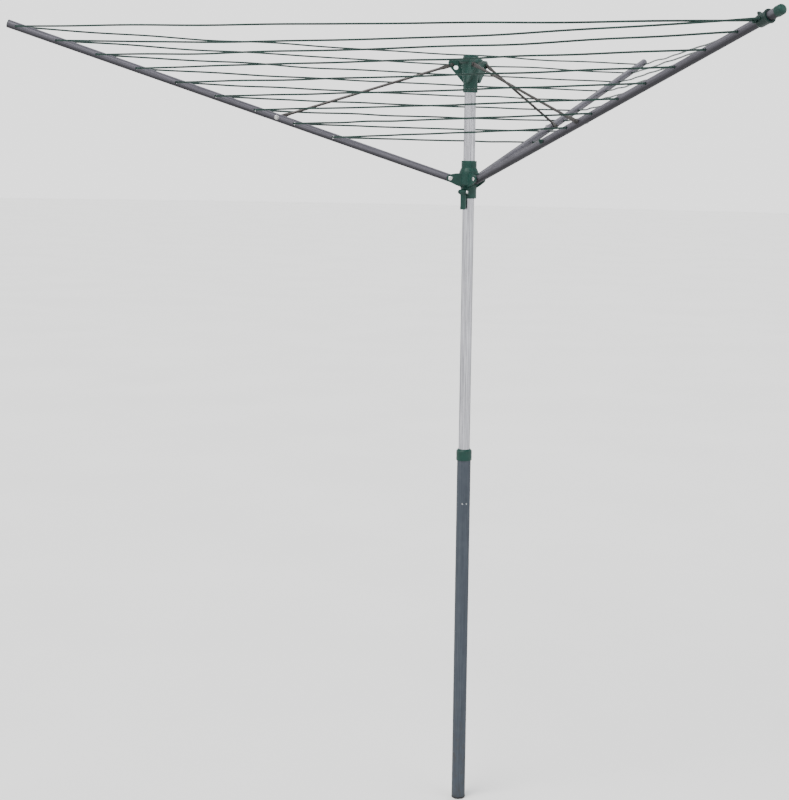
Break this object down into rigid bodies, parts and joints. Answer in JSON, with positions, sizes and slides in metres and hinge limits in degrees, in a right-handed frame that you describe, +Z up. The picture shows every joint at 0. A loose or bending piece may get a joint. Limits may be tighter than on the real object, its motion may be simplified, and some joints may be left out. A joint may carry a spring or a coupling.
{
  "type": "rotary clothesline",
  "caption": "Folding rotary clothesline: tubular mast, three arms braced by struts to a top hub, and one long line wound through the arms as nested triangles.",
  "frame": {"origin": "centre of the mast foot, on its flat underside", "axes": "+Z up along the mast; +X along the first arm, seen from above"},
  "size_m": [1.5438, 1.7809, 1.7997],
  "materials": {
    "lower_tube_steel": "satin grey zinc coat, a little mottled",
    "upper_tube_steel": "smooth drawn tube",
    "arm_tube_alloy": "satin",
    "strut_steel": "dull galvanised",
    "pin_steel": "bright zinc",
    "green_plastic": "satin moulded",
    "black_plastic": "matt",
    "line_pvc": "satin PVC skin"
  },
  "bodies": {
    "lower_mast": {"mast_lower_tube": "lower_tube_steel", "foot_plug": "black_plastic", "mast_collar": "green_plastic", "mast_stop": "pin_steel"},
    "head": {"mast_upper_tube": "upper_tube_steel", "bearing_plug": "black_plastic", "top_hub": "green_plastic", "hub_pin_a": "pin_steel", "hub_pin_b": "pin_steel", "hub_pin_c": "pin_steel", "clothesline": "line_pvc"},
    "runner": {"runner_hub": "green_plastic", "runner_pin_a": "pin_steel", "runner_pin_b": "pin_steel", "runner_pin_c": "pin_steel", "lever_pin": "pin_steel"},
    "lever": {"runner_lever": "green_plastic"},
    "strut_a_body": {"strut_a": "strut_steel"},
    "arm_a_body": {"arm_tube_a": "arm_tube_alloy", "arm_root_a": "black_plastic", "arm_tip_a": "green_plastic", "arm_rivet_a": "pin_steel"},
    "strut_b_body": {"strut_b": "strut_steel"},
    "arm_b_body": {"arm_tube_b": "arm_tube_alloy", "arm_root_b": "black_plastic", "arm_tip_b": "green_plastic", "arm_rivet_b": "pin_steel", "line_tensioner": "green_plastic"},
    "strut_c_body": {"strut_c": "strut_steel"},
    "arm_c_body": {"arm_tube_c": "arm_tube_alloy", "arm_root_c": "black_plastic", "arm_tip_c": "green_plastic", "arm_rivet_c": "pin_steel"}
  },
  "joints": [
    {"name": "head_spin", "type": "hinge", "parent": "lower_mast", "child": "head", "pos_m": [0, 0, 1.2], "axis": [0, 0, 1], "continuous": true},
    {"name": "fold", "type": "hinge", "parent": "head", "child": "strut_a_body", "pos_m": [0.042, 0, 1.72651], "axis": [0, 1, 0], "range_deg": [0, 69], "deforming": ["clothesline"]},
    {"name": "arm_a_fold", "type": "hinge", "parent": "strut_a_body", "child": "arm_a_body", "pos_m": [0.43288, 0, 1.59951], "axis": [0, 1, 0], "range_deg": [-138, 0]},
    {"name": "strut_b_fold", "type": "hinge", "parent": "head", "child": "strut_b_body", "pos_m": [-0.021, 0.03637, 1.72651], "axis": [-0.866, -0.5, 0], "range_deg": [0, 69]},
    {"name": "arm_b_fold", "type": "hinge", "parent": "strut_b_body", "child": "arm_b_body", "pos_m": [-0.21644, 0.37489, 1.59951], "axis": [-0.866, -0.5, 0], "range_deg": [-138, 0]},
    {"name": "strut_c_fold", "type": "hinge", "parent": "head", "child": "strut_c_body", "pos_m": [-0.021, -0.03637, 1.72651], "axis": [0.866, -0.5, 0], "range_deg": [0, 69]},
    {"name": "arm_c_fold", "type": "hinge", "parent": "strut_c_body", "child": "arm_c_body", "pos_m": [-0.21644, -0.37489, 1.59951], "axis": [0.866, -0.5, 0], "range_deg": [-138, 0]},
    {"name": "runner_fold", "type": "hinge", "parent": "arm_a_body", "child": "runner", "pos_m": [0.042, 0, 1.4725], "axis": [0, 1, 0], "range_deg": [0, 69]},
    {"name": "lever_swing", "type": "hinge", "parent": "runner", "child": "lever", "pos_m": [0.0135, 0.02338, 1.4425], "axis": [-0.866, 0.5, 0], "range_deg": [-75, 0]}
  ],
  "couplings": [
    {"joint": "arm_a_fold", "follows": "fold", "ratio": -2},
    {"joint": "strut_b_fold", "follows": "fold", "ratio": 1},
    {"joint": "arm_b_fold", "follows": "fold", "ratio": -2},
    {"joint": "strut_c_fold", "follows": "fold", "ratio": 1},
    {"joint": "arm_c_fold", "follows": "fold", "ratio": -2},
    {"joint": "runner_fold", "follows": "fold", "ratio": 1}
  ]
}
